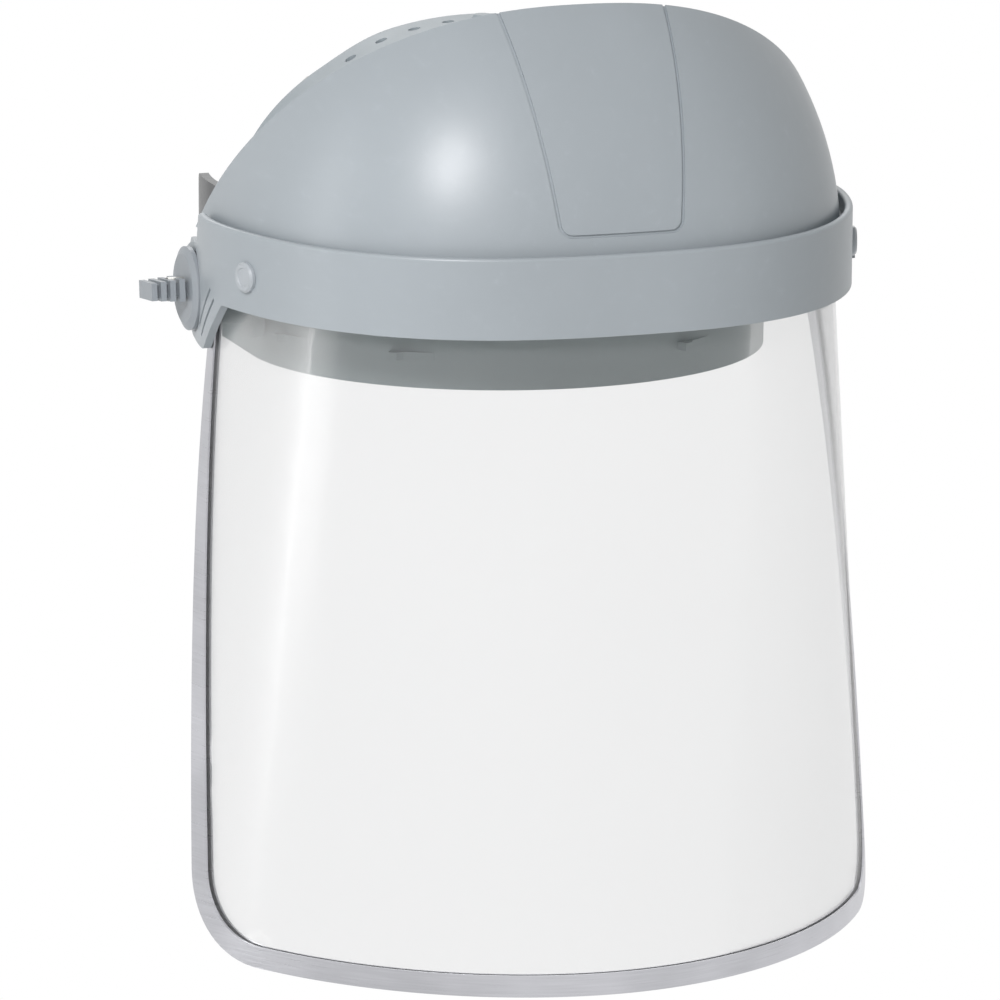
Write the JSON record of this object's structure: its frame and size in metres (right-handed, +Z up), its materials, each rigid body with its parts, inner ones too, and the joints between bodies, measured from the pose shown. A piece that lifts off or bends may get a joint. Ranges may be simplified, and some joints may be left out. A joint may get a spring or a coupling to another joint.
{
  "type": "face shield",
  "caption": "Face shield: curved clear window with metal-bound edge under a domed brow guard, tilting on an adjustable ratchet headgear.",
  "frame": {"origin": "midway between the two tilt pivots, on the tilt axis", "axes": "+Z up, -Y the front the wearer faces, +X the wearer's left"},
  "size_m": [0.2376, 0.2595, 0.3024],
  "materials": {
    "guard_plastic": "satin moulded",
    "clear_window": "clear polycarbonate",
    "edge_aluminium": "brushed",
    "headgear_plastic": "moulded",
    "strap_plastic": "moulded",
    "black_plastic": "moulded",
    "knob_plastic": "moulded",
    "button_plastic": "moulded",
    "pad_fabric": "padded cloth",
    "liner_white": "natural",
    "washer_rubber": "plain",
    "steel": "zinc plated",
    "brass": "turned"
  },
  "bodies": {
    "headgear": {"headband": "headgear_plastic", "brow_pad": "pad_fabric", "side_lug_left": "headgear_plastic", "side_lug_right": "headgear_plastic", "temple_bracket_left": "black_plastic", "temple_bracket_right": "black_plastic", "crown_strap_left": "strap_plastic", "crown_strap_right": "strap_plastic", "crown_peg": "strap_plastic", "crown_stud_left": "strap_plastic", "crown_stud_right": "strap_plastic", "nape_stud_left": "strap_plastic", "nape_stud_right": "strap_plastic", "liner_tab_left": "liner_white", "liner_tab_right": "liner_white", "friction_washer_left": "washer_rubber", "friction_washer_right": "washer_rubber", "pivot_screw_left": "steel", "pivot_screw_right": "steel", "ratchet_housing": "headgear_plastic", "ratchet_cover": "headgear_plastic", "cover_screws": "steel", "nape_pad": "pad_fabric"},
    "visor": {"window_band": "guard_plastic", "brow_dome": "guard_plastic", "window": "clear_window", "edge_binding": "edge_aluminium", "window_button_left": "button_plastic", "window_button_right": "button_plastic", "button_clip_left": "knob_plastic", "button_clip_right": "knob_plastic", "thrust_washer_left": "washer_rubber", "thrust_washer_right": "washer_rubber"},
    "knob_left": {"tilt_knob_left": "knob_plastic", "knob_insert_left": "brass"},
    "knob_right": {"tilt_knob_right": "knob_plastic", "knob_insert_right": "brass"},
    "ratchet": {"ratchet_knob": "black_plastic", "pinion": "knob_plastic"},
    "strap_left": {"nape_strap_left": "strap_plastic"},
    "strap_right": {"nape_strap_right": "strap_plastic"}
  },
  "joints": [
    {"name": "visor_tilt", "type": "hinge", "parent": "headgear", "child": "visor", "pos_m": [0, 0, 0], "axis": [-1, 0, 0], "range_deg": [0, 75]},
    {"name": "tilt_knob_left_turn", "type": "hinge", "parent": "headgear", "child": "knob_left", "pos_m": [0.11, 0, 0], "axis": [1, 0, 0], "range_deg": [0, 180]},
    {"name": "tilt_knob_right_turn", "type": "hinge", "parent": "headgear", "child": "knob_right", "pos_m": [-0.11, 0, 0], "axis": [-1, 0, 0], "range_deg": [0, 180]},
    {"name": "ratchet_turn", "type": "hinge", "parent": "headgear", "child": "ratchet", "pos_m": [0, 0.11294, -0.01815], "axis": [0, -0.9511, 0.309], "range_deg": [0, 160]},
    {"name": "nape_strap_left_slide", "type": "hinge", "parent": "headgear", "child": "strap_left", "pos_m": [0, 0.034, 0.0075], "axis": [0, 0.309, 0.9511], "range_deg": [0, 8]},
    {"name": "nape_strap_right_slide", "type": "hinge", "parent": "headgear", "child": "strap_right", "pos_m": [0, 0.034, 0.0075], "axis": [0, 0.309, 0.9511], "range_deg": [-8, 0]}
  ],
  "couplings": [
    {"joint": "nape_strap_left_slide", "follows": "ratchet_turn", "ratio": 0.04825},
    {"joint": "nape_strap_right_slide", "follows": "ratchet_turn", "ratio": -0.04825}
  ]
}
